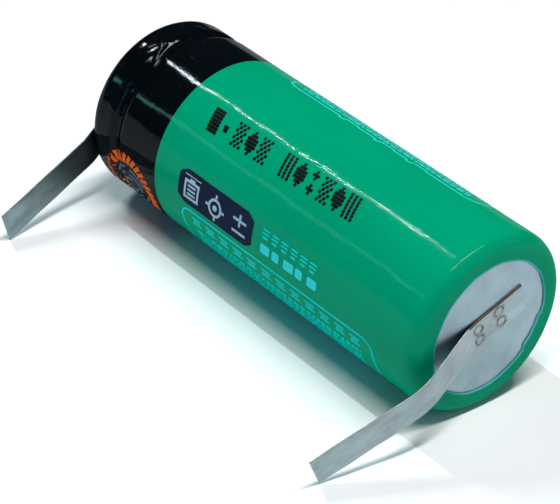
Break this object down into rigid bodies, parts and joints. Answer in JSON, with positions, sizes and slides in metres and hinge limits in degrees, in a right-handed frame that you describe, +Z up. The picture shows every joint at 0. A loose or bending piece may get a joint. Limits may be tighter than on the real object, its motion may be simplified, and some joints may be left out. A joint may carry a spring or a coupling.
{
  "type": "cylindrical lithium battery cell with solder tabs",
  "caption": "Cylindrical primary lithium cell in a green and black shrink sleeve, with a flat nickel solder tab welded to each terminal.",
  "frame": {"origin": "on the cell's axis, halfway between the two ends of the shrink sleeve", "axes": "+X along the axis towards the negative terminal, +Z up with the cell lying on its barrel and on the tips of its tabs, and the tabs reach out to -Y"},
  "size_m": [0.0476, 0.028, 0.017],
  "materials": {
    "sleeve_film": "glossy green heat-shrink film with a black band",
    "can_steel": "satin nickel plating",
    "tab_nickel": "satin rolled nickel strip",
    "fibre_washer": "pressed fibre",
    "cap_steel": "bright nickel plating",
    "ptc": "carbon-filled polymer",
    "vent_metal": "rolled, scored",
    "plate_metal": "stamped",
    "gasket_plastic": "translucent moulded polypropylene",
    "insulator_plastic": "die-cut sheet",
    "separator_film": "microporous film",
    "cathode_mix": "pressed manganese dioxide mix",
    "collector_metal": "expanded metal",
    "lithium": "rolled lithium strip",
    "tape": "adhesive polyimide tape"
  },
  "bodies": {
    "root": {"shrink_sleeve": "sleeve_film", "can": "can_steel", "negative_tab": "tab_nickel", "positive_tab": "tab_nickel", "positive_washer": "fibre_washer", "top_cap": "cap_steel", "ptc_ring": "ptc", "vent_disc": "vent_metal", "spacer_ring": "insulator_plastic", "contact_plate": "plate_metal", "seal_gasket": "gasket_plastic", "upper_insulator": "insulator_plastic", "lower_insulator": "insulator_plastic", "separator_inner": "separator_film", "cathode_coat_inner": "cathode_mix", "cathode_collector": "collector_metal", "cathode_coat_outer": "cathode_mix", "separator_outer": "separator_film", "anode_foil": "lithium", "anode_tab": "tab_nickel", "anode_tab_tape": "tape", "cathode_tab": "tab_nickel", "cathode_tab_tape": "tape", "winding_tape": "tape"}
  },
  "joints": []
}
